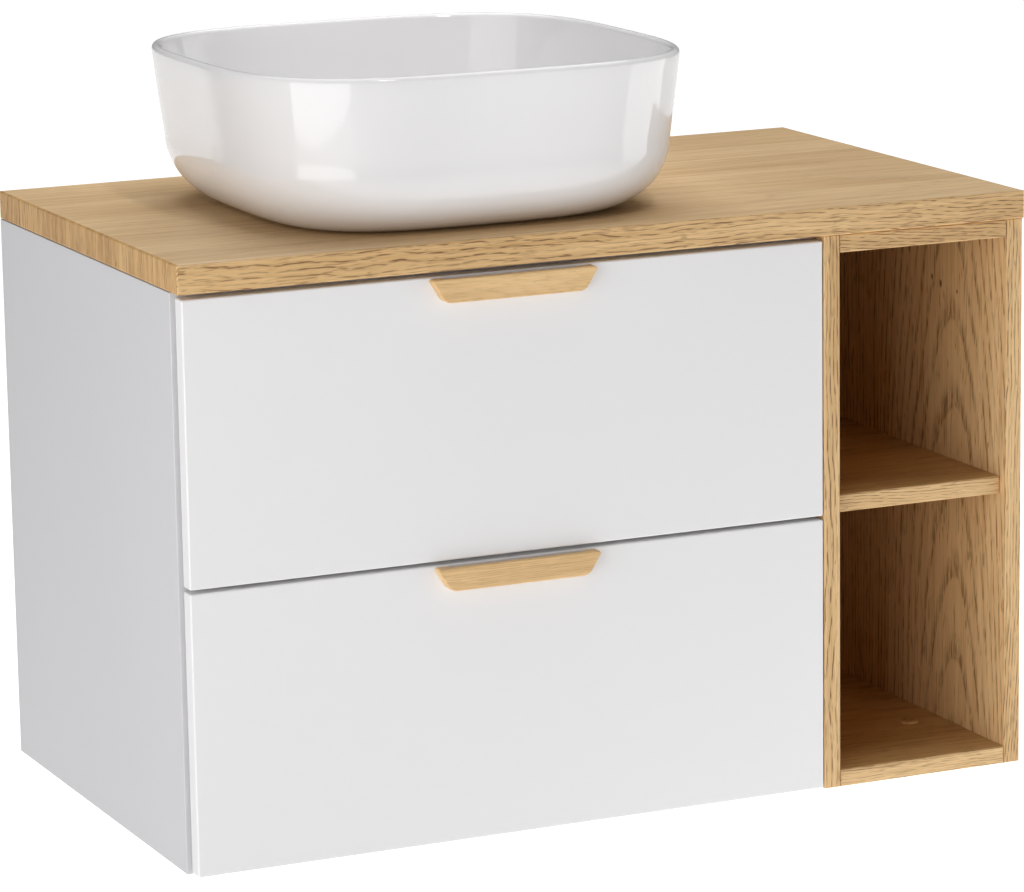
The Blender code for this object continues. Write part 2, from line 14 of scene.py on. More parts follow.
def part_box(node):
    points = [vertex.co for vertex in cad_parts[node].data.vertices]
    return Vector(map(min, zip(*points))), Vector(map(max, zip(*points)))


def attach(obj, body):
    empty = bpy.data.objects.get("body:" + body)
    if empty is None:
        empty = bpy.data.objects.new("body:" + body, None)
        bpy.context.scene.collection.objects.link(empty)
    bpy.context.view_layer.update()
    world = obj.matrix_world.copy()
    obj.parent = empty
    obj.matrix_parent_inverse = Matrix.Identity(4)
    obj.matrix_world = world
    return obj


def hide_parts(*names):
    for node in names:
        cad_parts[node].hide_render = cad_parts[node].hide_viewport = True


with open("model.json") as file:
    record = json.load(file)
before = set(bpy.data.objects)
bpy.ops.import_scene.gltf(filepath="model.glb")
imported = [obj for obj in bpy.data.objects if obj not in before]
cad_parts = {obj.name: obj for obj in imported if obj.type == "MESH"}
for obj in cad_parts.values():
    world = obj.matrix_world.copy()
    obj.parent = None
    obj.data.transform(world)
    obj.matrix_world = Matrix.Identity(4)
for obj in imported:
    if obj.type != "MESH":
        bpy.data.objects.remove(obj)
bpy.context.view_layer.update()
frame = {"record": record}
BODY = {node: body for body, nodes in frame["record"]["behaviour"]["bodies"].items() for node in nodes}

SIDES = ("left", "right")
GAP = 0.0003  # between pieces that would otherwise touch
BAND = 0.002  # edge banding on the oak boards
BASIN_X, BASIN_Y = -0.096, -0.248
BASIN_LOW, BASIN_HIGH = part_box("basin")
DRAIN_HOLE = 0.0235
SAME = 1e-6  # coordinates closer than this are the same
CREASE = 1.0  # radians, an edge between faces that meet at more than this is rounded
SHARP, SHARP_METAL, SHARP_BASIN = 38, 30, 60  # degrees, shading is smooth below these

# ---------------------------------------------------------------- materials

NOISE_LOW, NOISE_HIGH = 0.3, 0.7  # most of a noise texture's values lie between these


class Look:
    """A procedural material while it is being built. Its calls add nodes and give back their outputs."""

    def __init__(self, name, roughness, metallic=0.0):
        self.material = bpy.data.materials.new(name)
        self.material.use_nodes = True
        self.tree = self.material.node_tree
        self.shader = self.tree.nodes["Principled BSDF"]
        self.set("Roughness", roughness)
        self.set("Metallic", metallic)
        self.object_at = self.tree.nodes.new("ShaderNodeTexCoord").outputs["Object"]

    def feed(self, socket, value):
        if isinstance(value, bpy.types.NodeSocket):
            self.tree.links.new(value, socket)
        elif socket.type == "RGBA":
            socket.default_value = (*value, 1.0)
        else:
            socket.default_value = value

    def node(self, kind, inputs, **settings):
        made = self.tree.nodes.new(kind)
        for setting, value in settings.items():
            setattr(made, setting, value)
        for key, value in inputs.items():
            self.feed(made.inputs[key], value)
        return made

    def set(self, socket, value):
        self.feed(self.shader.inputs[socket], value)

    def split(self, vector):
        return self.node("ShaderNodeSeparateXYZ", {0: vector}).outputs

    def axes(self, order):
        """Object coordinates reordered, such as "yzx"."""
        parts = self.split(self.object_at)
        picked = {k: parts["xyz".index(axis)] for k, axis in enumerate(order)}
        return self.node("ShaderNodeCombineXYZ", picked).outputs[0]

    def scaled(self, at, scale):
        return self.node("ShaderNodeMapping", {"Vector": at, "Scale": scale}).outputs[0]

    def noise(self, at, scale, detail=2.0, rough=0.5):
        """Noise with scale waves a metre, stretched where scale has a number for each axis."""
        if isinstance(scale, tuple):
            at, scale = self.scaled(at, scale), 1.0
        inputs = {"Vector": at, "Scale": scale, "Detail": detail, "Roughness": rough}
        return self.node("ShaderNodeTexNoise", inputs).outputs[0]

    def cells(self, at, scale):
        """One random number for each cell of a Voronoi texture."""
        made = self.node("ShaderNodeTexVoronoi", {"Vector": at, "Scale": scale})
        return self.split(made.outputs["Color"])[0]

    def math(self, operation, a, b=0.0, c=0.0):
        return self.node("ShaderNodeMath", {0: a, 1: b, 2: c}, operation=operation).outputs[0]

    def add(self, a, b):
        return self.math("ADD", a, b)

    def times(self, a, b):
        return self.math("MULTIPLY", a, b)

    def span(self, value, low, high, to_low=0.0, to_high=1.0, kind="SMOOTHSTEP"):
        """The value carried over from the range low to high, with soft ends."""
        inputs = {"Value": value, "From Min": low, "From Max": high, "To Min": to_low, "To Max": to_high}
        return self.node("ShaderNodeMapRange", inputs, interpolation_type=kind).outputs[0]

    def spread(self, value, to_low, to_high, low=NOISE_LOW, high=NOISE_HIGH):
        """A noise, or a value between low and high, spread evenly over a range."""
        return self.span(value, low, high, to_low, to_high, "LINEAR")

    def mix(self, factor, a, b):
        return self.node("ShaderNodeMix", {0: factor, 6: a, 7: b}, data_type="RGBA").outputs[2]

    def ramp(self, value, stops):
        made = self.node("ShaderNodeValToRGB", {0: value})
        bar = made.color_ramp
        while len(bar.elements) < len(stops):
            bar.elements.new(0.5)
        for element, (place, colour) in zip(bar.elements, stops):
            element.position = place
            element.color = (*colour, 1.0)
        return made.outputs[0]

    def bump(self, height, depth, strength):
        made = self.node("ShaderNodeBump", {"Height": height, "Strength": strength, "Distance": depth})
        self.set("Normal", made.outputs[0])


DASH_BROWN = (0.205, 0.088, 0.026)
KNOT_BROWN = (0.090, 0.042, 0.018)


def oak(name, order, heart, tilt, tones, line, dashes, contrast=1.0, seed=0.0, ring=0.009, wave=6.0,
        waver=0.0018, vein=220.0, knots=()):
    """Oak decor.

    order: the axes across the face, into it and along the grain
    heart: where the tree's centre line lies across and below the face
    tilt: how fast the centre line nears the face along the grain, which draws the cathedral arches
    tones: the pale and the dark colour
    line, dashes: how strong the rings' rows of pores and the fine veins are
    ring: width of a year's ring
    wave, waver: how many waves a metre of a ring has, and how far they swing
    vein: how many fine veins a metre holds
    knots: (across, along, size) of each small knot
    """
    look = Look(name, roughness=0.5)
    plain = look.axes(order)
    at = look.node("ShaderNodeVectorMath", {0: plain, 1: (seed, seed * 0.7, seed * 1.3)}).outputs[0]
    across, down, along = look.split(plain)
    # Knots are longer along the grain and push the rings aside
    knot, aside, squeeze = 0.0, 0.0, 0.6
    for knot_across, knot_along, size in knots:
        flat = look.node("ShaderNodeCombineXYZ", {0: across, 1: look.times(along, squeeze)}).outputs[0]
        centre = (knot_across, knot_along * squeeze, 0)
        off = look.node("ShaderNodeVectorMath", {0: flat, 1: centre}, operation="DISTANCE").outputs["Value"]
        knot = look.add(knot, look.span(off, size, size * 0.45))
        aside = look.add(aside, look.span(off, size * 4, size, 0.0, size * 0.6))
    # Rings, as the distance from the tree's centre line
    wander = look.spread(look.noise(at, (5, 5, 1.6), 1.0), -0.030, 0.030, 0.2, 0.8)
    wobble = look.spread(look.noise(at, (38, 38, wave)), -waver, waver, 0.2, 0.8)
    side = look.add(look.math("SUBTRACT", across, heart[0]), wander)
    below = look.add(look.math("MULTIPLY_ADD", along, tilt, heart[1]), down)
    radius = look.math("SQRT", look.math("MULTIPLY_ADD", side, side, look.times(below, below)))
    radius = look.add(look.add(radius, wobble), aside)
    year = look.math("FRACT", look.math("DIVIDE", radius, ring))
    # Big early pores stand in rows along each ring: short dark dashes
    row = look.math("MAXIMUM", look.span(year, 0.38, 0.06), look.span(year, 0.92, 0.99))
    pore = look.noise(at, (700, 700, 60), 1.0)
    streak = look.noise(at, (130, 130, 4), 2.0, 0.6)
    pores = look.times(row, look.span(pore, 0.39, 0.57, 0.12, 1.0))
    pores = look.times(pores, look.span(streak, 0.36, 0.58, 0.40, 1.0))
    # Fine veins run between them, where a stretched noise crosses its middle, broken into dashes
    flow = look.noise(at, (vein, vein, vein / 22), 1.0)
    away = look.math("ABSOLUTE", look.math("SUBTRACT", flow, 0.5))
    broken = look.noise(at, (vein * 2, vein * 2, vein / 5), 1.0)
    thick = look.spread(broken, 0.008, 0.028, 0.36, 0.66)
    veins = look.math("SUBTRACT", 1.0, look.span(look.math("DIVIDE", away, thick), 0.4, 1.3))
    veins = look.times(veins, look.span(broken, 0.36, 0.54, 0.10, 1.0))
    mark = look.math("MAXIMUM", look.times(pores, line), look.times(veins, dashes))
    # The tone between pale and dark
    fibre = look.noise(at, (900, 900, 30), 2.0, 0.6)
    patch = look.noise(at, (16, 16, 2.4), 1.0)
    tone = look.add(look.spread(streak, 0.02, 0.40), look.times(year, 0.14))
    tone = look.add(tone, look.spread(fibre, -0.12, 0.12))
    tone = look.add(tone, look.spread(patch, -0.14, 0.14))
    tone = look.spread(look.times(tone, contrast), 0.0, 1.0, 0.0, 1.0)
    colour = look.mix(mark, look.mix(tone, *tones), DASH_BROWN)
    if knots:
        colour = look.mix(look.times(knot, 0.85), colour, KNOT_BROWN)
    look.set("Base Color", colour)
    look.set("Roughness", look.spread(mark, 0.46, 0.62, 0.0, 1.0))
    look.bump(look.math("SUBTRACT", look.times(fibre, 0.2), mark), 0.00015, 0.6)
    return look.material


# Pale and dark tone of each oak surface
TOP_OAK = ((0.850, 0.610, 0.340), (0.545, 0.320, 0.123))
BOARD_OAK = ((0.850, 0.577, 0.297), (0.530, 0.295, 0.105))
# The shelf boards' tones are darker than the side boards': painted shade inside the compartments.
SHELF_OAK_PAINTED_SHADE = ((0.64, 0.39, 0.160), (0.38, 0.190, 0.058))
EDGE_OAK = ((0.870, 0.590, 0.290), (0.500, 0.280, 0.092))
END_OAK = ((0.740, 0.460, 0.185), (0.440, 0.225, 0.060))

OAKS = {
    "oak_top": dict(order="yzx", heart=(-0.36, 0.060), tilt=0.07, tones=TOP_OAK, line=0.22, dashes=0.16,
                    ring=0.011, contrast=1.1),
    "oak_side": dict(order="yxz", heart=(-0.355, -0.2905), tilt=0.075, tones=BOARD_OAK, line=0.86,
                     dashes=0.50, seed=3.1, ring=0.0060, waver=0.0008,
                     knots=[(-0.322, -0.017, 0.0022), (-0.338, -0.021, 0.0028), (-0.368, -0.024, 0.0017)]),
    "oak_back": dict(order="xyz", heart=(0.29, 0.090), tilt=0.10, tones=BOARD_OAK, line=0.86, dashes=0.50,
                     seed=5.3, ring=0.0060, waver=0.0010),
    "oak_shelf_painted_shade": dict(order="yzx", heart=(-0.25, 0.240), tilt=0.10, tones=SHELF_OAK_PAINTED_SHADE, line=0.40, dashes=0.40,
                      seed=7.7),
    "band_x": dict(order="zyx", heart=(0.2, 0.25), tilt=0.02, tones=EDGE_OAK, line=0.95, dashes=0.45,
                   seed=1.7, contrast=1.2, ring=0.0024, wave=18.0, vein=300.0),
    "band_z": dict(order="xyz", heart=(0.0, 0.25), tilt=0.02, tones=EDGE_OAK, line=0.95, dashes=0.45,
                   seed=2.9, contrast=1.2, ring=0.0030, wave=18.0, vein=300.0),
    "band_end": dict(order="yxz", heart=(0.0, 0.25), tilt=0.02, tones=END_OAK, line=0.80, dashes=0.55,
                     seed=4.1, contrast=1.35, ring=0.0026, wave=10.0, vein=300.0),
    "oak_handle": dict(order="zyx", heart=(0.10, 0.25), tilt=0.03, tones=EDGE_OAK, line=0.34, dashes=0.20,
                       seed=6.3, ring=0.0016, vein=300.0),
}


def satin_white(name, light, deep, low, high):
    look = Look(name, roughness=(low + high) / 2)
    look.set("Base Color", look.mix(look.noise(look.object_at, (5, 5, 2)), light, deep))
    look.set("Roughness", look.spread(look.noise(look.object_at, 900.0), low, high))
    look.bump(look.noise(look.object_at, 330.0), 0.00004, 0.35)
    return look.material


def chipboard():
    look = Look("chipboard_core", roughness=0.85)
    shade = look.cells(look.scaled(look.object_at, (330, 330, 620)), 1.0)
    browns = [(0.0, (0.30, 0.19, 0.095)), (0.5, (0.46, 0.32, 0.18)), (1.0, (0.60, 0.46, 0.29))]
    chips = look.ramp(shade, browns)
    grit = look.noise(look.object_at, 1500.0)
    look.set("Base Color", look.mix(look.span(grit, 0.55, 0.75, 0.0, 0.5), chips, (0.16, 0.10, 0.05)))
    look.set("Roughness", look.spread(shade, 0.78, 0.95, 0.0, 1.0))
    look.bump(look.add(shade, grit), 0.0003, 0.6)
    return look.material


def glaze():
    look = Look("glazed_ceramic", roughness=0.07)
    cloud = look.noise(look.object_at, 7.0)
    look.set("Base Color", look.mix(cloud, (0.800, 0.790, 0.796), (0.820, 0.810, 0.814)))
    look.set("Roughness", look.spread(look.noise(look.object_at, 260.0), 0.055, 0.095))
    look.bump(look.noise(look.object_at, 38.0, 1.0), 0.00012, 0.35)
    return look.material


def chrome():
    look = Look("chrome", roughness=0.08, metallic=1.0)
    cloud = look.noise(look.object_at, 90.0)
    look.set("Base Color", look.mix(cloud, (0.74, 0.75, 0.77), (0.80, 0.81, 0.83)))
    wipe = look.noise(look.object_at, (900, 120, 900), 3.0)
    look.set("Roughness", look.spread(wipe, 0.05, 0.13))
    return look.material


def zinc():
    look = Look("zinc_plated_steel", roughness=0.35, metallic=1.0)
    spangle = look.cells(look.object_at, 260.0)
    cloud = look.noise(look.object_at, 35.0, 3.0)
    tone = look.add(look.times(spangle, 0.4), look.times(cloud, 0.6))
    look.set("Base Color", look.ramp(tone, [(0.2, (0.46, 0.47, 0.49)), (0.8, (0.66, 0.67, 0.68))]))
    look.set("Roughness", look.spread(tone, 0.28, 0.44, 0.2, 0.8))
    look.bump(look.noise(look.object_at, (1400, 45, 1400)), 0.00003, 0.5)
    return look.material


def enamel():
    look = Look("drawer_side_enamel", roughness=0.42)
    fine = look.noise(look.object_at, 1300.0)
    look.set("Base Color", look.mix(fine, (0.52, 0.53, 0.545), (0.60, 0.61, 0.625)))
    look.set("Roughness", look.spread(fine, 0.36, 0.48))
    look.bump(look.noise(look.object_at, 800.0), 0.00005, 0.6)
    return look.material


def grey_board():
    look = Look("grey_melamine", roughness=0.55)
    warp = look.noise(look.object_at, (1700, 130, 1700))
    weft = look.noise(look.object_at, (130, 1700, 130))
    weave = look.times(look.add(warp, weft), 0.5)
    look.set("Base Color", look.ramp(weave, [(0.35, (0.50, 0.50, 0.505)), (0.65, (0.68, 0.68, 0.685))]))
    look.set("Roughness", look.spread(weave, 0.48, 0.62))
    look.bump(weave, 0.00006, 0.5)
    return look.material


def plastic(name, light, deep, low, high):
    look = Look(name, roughness=(low + high) / 2)
    look.set("Base Color", look.mix(look.noise(look.object_at, 60.0, 3.0), light, deep))
    fine = look.noise(look.object_at, 1600.0)
    look.set("Roughness", look.spread(fine, low, high))
    look.bump(fine, 0.00003, 0.5)
    return look.material


MATERIAL = {name: oak(name, **settings) for name, settings in OAKS.items()}
MATERIAL.update(
    # The carcass white is much darker than the fronts' lacquer: painted shade on the cabinet's sides, floor and
    # traverses.
    white=satin_white("white_painted_shade", (0.625, 0.617, 0.633), (0.645, 0.637, 0.653), 0.36, 0.46),
    lacquer=satin_white("white_lacquer", (0.880, 0.872, 0.877), (0.892, 0.884, 0.889), 0.30, 0.38),
    core=chipboard(),
    ceramic=glaze(),
    chrome=chrome(),
    zinc=zinc(),
    enamel=enamel(),
    grey_board=grey_board(),
    trap=plastic("trap_plastic", (0.80, 0.80, 0.78), (0.86, 0.86, 0.85), 0.28, 0.40),
    guard=plastic("guard_plastic", (0.60, 0.60, 0.61), (0.68, 0.68, 0.69), 0.40, 0.55),
    rubber=plastic("black_rubber", (0.018, 0.018, 0.018), (0.035, 0.035, 0.035), 0.62, 0.80),
)

# ---------------------------------------------------------------- mesh tools


def add_object(name, data):
    made = bpy.data.objects.new(name, data)
    bpy.context.scene.collection.objects.link(made)
    return made


def mesh_from(name, data):
    mesh = bpy.data.meshes.new(name)
    data.to_mesh(mesh)
    data.free()
    return mesh


def piece_from(name, data, node, materials, stands=True, sharp=SHARP):
    """A finished mesh piece that rides on its node's body. stands says that it stands for the whole node."""
    mesh = mesh_from(name, data)
    for material in materials:
        mesh.materials.append(MATERIAL[material])
    mesh.shade_smooth()
    mesh.set_sharp_from_angle(angle=radians(sharp))
    piece = add_object(name, mesh)
    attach(piece, BODY[node])
    if stands:
        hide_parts(node)
    return piece


def even_shading(piece):
    """Keeps large flats flat while small rounds stay smooth."""
    step = piece.modifiers.new("shading", "WEIGHTED_NORMAL")
    step.keep_sharp = True
    step.weight = 100


def box_data(low, high):
    data = bmesh.new()
    bmesh.ops.create_cube(data, size=1.0)
    size = Vector(high) - Vector(low)
    middle = (Vector(low) + Vector(high)) / 2
    data.transform(Matrix.Translation(middle) @ Matrix.Diagonal((*size, 1.0)))
    return data


def on_plane(element, axis, value):
    """Whether an edge or a face lies wholly on a plane."""
    return all(abs(v.co[axis] - value) < SAME for v in element.verts)


def round_edges(data, edges, radius, segments):
    bmesh.ops.bevel(data, geom=edges, offset=radius, segments=segments, profile=0.5, affect="EDGES")


def board(name, node, material, radius, core=(), low=None, segments=3):
    """A board with rounded edges. core lists the faces, such as "+y", that show raw chipboard."""
    node_low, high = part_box(node)
    low = Vector(low or node_low)
    data = box_data(low, high)
    for side in core:
        axis = "xyz".index(side[1])
        value = (high if side[0] == "+" else low)[axis]
        face = next(f for f in data.faces if on_plane(f, axis, value))
        bmesh.ops.inset_region(data, faces=[face], thickness=0.0008)
        face.material_index = 1
    outer = [e for e in data.edges if len(e.link_faces) == 2 and e.calc_face_angle(0) > CREASE]
    round_edges(data, outer, radius, segments)
    even_shading(piece_from(name, data, node, [material, "core"] if core else [material]))


def band(name, node, material, low, high, axis, outer):
    """Edge banding: a strip whose outer face, the one at outer along axis, has rounded rims."""
    data = box_data(low, high)
    round_edges(data, [e for e in data.edges if on_plane(e, axis, outer)], 0.0016, 4)
    even_shading(piece_from(name, data, node, [material], stands=False))


def stitch(data, lower, upper):
    """Faces between two rings of vertices, where either may be a single point."""
    count = max(len(lower), len(upper))
    for k in range(count):
        nxt = (k + 1) % count
        corners = [lower[k % len(lower)], lower[nxt % len(lower)]]
        corners += [upper[nxt % len(upper)], upper[k % len(upper)]]
        data.faces.new(dict.fromkeys(corners))


# Turns the Z axis to each axis
FROM_Z = {
    "X": Matrix.Rotation(pi / 2, 4, "Y"),
    "Y": Matrix.Rotation(-pi / 2, 4, "X"),
    "Z": Matrix.Identity(4),
}


def turned_data(profile, centre, axis="Z", steps=96):
    """A closed (radius, height) profile turned about an axis through centre."""
    data = bmesh.new()
    rings = []
    for radius, height in profile:
        if radius == 0:
            rings.append([data.verts.new((0, 0, height))])
            continue
        angles = [2 * pi * k / steps for k in range(steps)]
        rings.append([data.verts.new((radius * cos(a), radius * sin(a), height)) for a in angles])
    for lower, upper in zip(rings, rings[1:] + rings[:1]):
        if len(lower) + len(upper) > 2:
            stitch(data, lower, upper)
    data.transform(FROM_Z[axis])
    data.transform(Matrix.Translation(centre))
    bmesh.ops.recalc_face_normals(data, faces=data.faces)
    return data


def rectangle(left, low, right, high):
    return [(left, low), (right, low), (right, high), (left, high)]


def fillet(points, radius, steps):
    """A closed outline with its corners rounded, as far as its sides are long enough."""
    rounded = []
    for k, point in enumerate(points):
        corner = Vector(point)
        before = Vector(points[k - 1]) - corner
        after = Vector(points[(k + 1) % len(points)]) - corner
        half = before.angle(after) / 2
        on_axis = corner[0] == 0
        nearly_straight = half > 1.5
        if on_axis or nearly_straight:
            rounded.append(tuple(corner))
            continue
        reach = min(radius / tan(half), 0.45 * before.length, 0.45 * after.length)
        start = corner + before.normalized() * reach
        end = corner + after.normalized() * reach
        for step in range(steps + 1):
            t = step / steps
            rounded.append(tuple(start * (1 - t) ** 2 + corner * 2 * t * (1 - t) + end * t * t))
    return rounded


def prism_data(outline, axis, span):
    """An outline pushed along an axis. Its pairs are the other two axes, in X, Y, Z order."""
    data = bmesh.new()
    place = {
        "X": lambda a, b: (span[0], a, b),
        "Y": lambda a, b: (a, span[0], b),
        "Z": lambda a, b: (a, b, span[0]),
    }[axis]
    push = Vector((0, 0, 0))
    push["XYZ".index(axis)] = span[1] - span[0]
    face = data.faces.new([data.verts.new(place(a, b)) for a, b in outline])
    made = bmesh.ops.extrude_face_region(data, geom=[face])
    moved = [v for v in made["geom"] if isinstance(v, bmesh.types.BMVert)]
    bmesh.ops.translate(data, verts=moved, vec=push)
    bmesh.ops.recalc_face_normals(data, faces=data.faces)
    return data


def arc(centre, radius, start, end, steps):
    angles = [radians(start + (end - start) * k / steps) for k in range(steps + 1)]
    return [(centre[0] + radius * cos(a), centre[1] + radius * sin(a)) for a in angles]


def carve(data, tools, operation="DIFFERENCE"):
    """Booleans run at once on mesh data, and the result as new mesh data."""
    target = add_object("carve_target", mesh_from("carve_target", data))
    cutters = [add_object("carve_tool", mesh_from("carve_tool", tool)) for tool in tools]
    for cutter in cutters:
        step = target.modifiers.new("carve", "BOOLEAN")
        step.operation = operation
        step.solver = "EXACT"
        step.object = cutter
    bpy.context.view_layer.update()
    shaped = target.evaluated_get(bpy.context.evaluated_depsgraph_get())
    result = bmesh.new()
    result.from_mesh(shaped.to_mesh())
    shaped.to_mesh_clear()
    for used in [target, *cutters]:
        mesh = used.data
        bpy.data.objects.remove(used)
        bpy.data.meshes.remove(mesh)
    return result


def merged(*parts):
    """Several mesh datas as one."""
    whole = bmesh.new()
    for part in parts:
        mesh = mesh_from("part", part)
        whole.from_mesh(mesh)
        bpy.data.meshes.remove(mesh)
    return whole


def turned(name, node, profile, centre, material, axis="Z", steps=96, stands=True):
    piece_from(name, turned_data(profile, centre, axis, steps), node, [material], stands)


def screw_head(name, node, at, axis, facing, radius, height=0.0024, recess=0.0016, stands=False):
    """A pan head with a cross recess. facing is +1 or -1 along the axis."""
    profile = [(0, height), (radius * 0.55, height), (radius * 0.86, height * 0.72), (radius, height * 0.25),
               (radius, 0), (0, 0)]
    head = turned_data([(r, facing * h) for r, h in profile], (0, 0, 0), steps=40)
    bars = []
    for turn in (20, 110):
        bar = box_data((-radius * 0.55, -radius * 0.12, 0), (radius * 0.55, radius * 0.12, 0.01))
        bar.transform(Matrix.Rotation(radians(turn), 4, "Z"))
        bar.transform(Matrix.Translation((0, 0, height - recess)))
        if facing < 0:
            bar.transform(Matrix.Diagonal((1, 1, -1, 1)))
            bmesh.ops.recalc_face_normals(bar, faces=bar.faces)
        bars.append(bar)
    data = carve(head, bars)
    data.transform(Matrix.Translation(at) @ FROM_Z[axis])
    piece_from(name, data, node, ["zinc"], stands, SHARP_METAL)


# ---------------------------------------------------------------- countertop and basin


def make_countertop():
    low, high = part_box("countertop")
    slab = box_data((low.x + BAND, low.y + BAND, low.z), (high.x - BAND, high.y, high.z))
    hole = turned_data(rectangle(0, -0.05, DRAIN_HOLE, 0.05), (BASIN_X, BASIN_Y, low.z + 0.01))
    data = carve(slab, [hole])
    for face in data.faces:
        if face.normal.y > 0.9:
            face.material_index = 1
    even_shading(piece_from("countertop_board", data, "countertop", ["oak_top", "core"]))
    front = low.y + BAND
    for side, material, band_low, band_high, axis, outer in (
        ("front", "band_x", low, (high.x, front, high.z), 1, low.y),
        ("left", "band_end", (low.x, front, low.z), (low.x + BAND, high.y, high.z), 0, low.x),
        ("right", "band_end", (high.x - BAND, front, low.z), high, 0, high.x),
    ):
        band(f"countertop_band_{side}", "countertop", material, band_low, band_high, axis, outer)


BASIN_FLOOR = 0.018  # the bowl's lowest point above the basin's foot
ROUND, SQUARE = 2.0, 3.4  # exponents of a circle and of the basin's outline
BETWEEN = [k / 9 for k in range(1, 9)]


def basin_sections():
    """(half width, height, exponent) of each ring, from the drain hole's foot over the rim to its top."""
    base, sweep, side = 0.141, 0.060, 0.201
    wall, inner_sweep, slope = 0.009, 0.052, 0.004
    rim, rim_reach, rim_rise = 0.2055, 0.0041, 0.0046
    rim_z = BASIN_HIGH.z - BASIN_LOW.z - rim_rise
    # The foot ring stands on the countertop
    sections = [(DRAIN_HOLE, 0.006, ROUND), (0.070, 0.006, 3.0), (0.1125, 0.006, SQUARE),
                (0.1145, 0.0052, SQUARE), (0.1165, 0.0008, SQUARE), (0.1180, 0.0, SQUARE),
                (0.130, 0.0, SQUARE)]
    # Outside, with a faint bow
    for k in range(25):
        turn = radians(90 * k / 24)
        sections.append((base + sweep * sin(turn), sweep * (1 - cos(turn)), SQUARE))
    for t in BETWEEN:
        bow = 0.00027 * sin(pi * t)
        sections.append((side + (rim + rim_reach - side) * t + bow, sweep + (rim_z - sweep) * t, SQUARE))
    for k in range(17):
        turn = radians(180 * k / 16)
        sections.append((rim + rim_reach * cos(turn), rim_z + rim_rise * sin(turn), SQUARE))
    # Inside
    bowl = side - wall
    bowl_z = BASIN_FLOOR + slope + inner_sweep
    for t in BETWEEN:
        half = rim - rim_reach + (bowl - rim + rim_reach) * t
        sections.append((half, rim_z + (bowl_z - rim_z) * t, SQUARE))
    for k in range(24, -1, -1):
        turn = radians(90 * k / 24)
        sections.append((bowl - inner_sweep * (1 - sin(turn)), bowl_z - inner_sweep * cos(turn), SQUARE))
    # The bowl's floor slopes down to the seat of the drain's flange
    edge, seat = bowl - inner_sweep, 0.036
    for t in BETWEEN:
        ease = t * t * (3 - 2 * t)
        exponent = SQUARE + (ROUND - SQUARE) * ease
        sections.append((edge + (seat - edge) * t, BASIN_FLOOR + slope * (1 - ease), exponent))
    return sections + [(0.0362, BASIN_FLOOR, ROUND), (DRAIN_HOLE + 0.0005, BASIN_FLOOR, ROUND),
                       (DRAIN_HOLE, BASIN_FLOOR - 0.0005, ROUND)]


def make_basin():
    sectors = 208
    data = bmesh.new()
    rings = []
    for half, height, power in basin_sections():
        ring = []
        for k in range(sectors):
            angle = 2 * pi * (k + 0.5) / sectors
            reach = half / (abs(cos(angle)) ** power + abs(sin(angle)) ** power) ** (1 / power)
            x, y = BASIN_X + reach * cos(angle), BASIN_Y + reach * sin(angle)
            ring.append(data.verts.new((x, y, BASIN_LOW.z + height)))
        rings.append(ring)
    for lower, upper in zip(rings, rings[1:] + rings[:1]):
        stitch(data, lower, upper)
    bmesh.ops.recalc_face_normals(data, faces=data.faces)
    piece_from("basin_bowl", data, "basin", ["ceramic"], sharp=SHARP_BASIN)


# ---------------------------------------------------------------- drain and trap

DRAIN_AXIS = Vector((BASIN_X, BASIN_Y, 0))
DRAIN_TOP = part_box("drain_body")[1].z
TAIL_R, TAIL_BORE, STEM_R = 0.0208, 0.0175, 0.006
TUBE_R, TUBE_BORE = 0.016, 0.0148
SLIP_NUT_R, SLIP_NUT_BORE, SLIP_NUT_LIP = 0.0262, 0.0212, 0.0164


def grip_ribs(radius, low, high, count, centre, axis="Z"):
    """Raised grip ribs round a slip nut."""
    ribs = []
    for k in range(count):
        rib = turned_data(fillet(rectangle(0, low, 0.0011, high), 0.0004, 2), (0, 0, 0), steps=8)
        rib.transform(Matrix.Translation((radius - 0.0004, 0, 0)))
        rib.transform(Matrix.Rotation(2 * pi * k / count, 4, "Z"))
        rib.transform(FROM_Z[axis])
        rib.transform(Matrix.Translation(centre))
        ribs.append(rib)
    return ribs


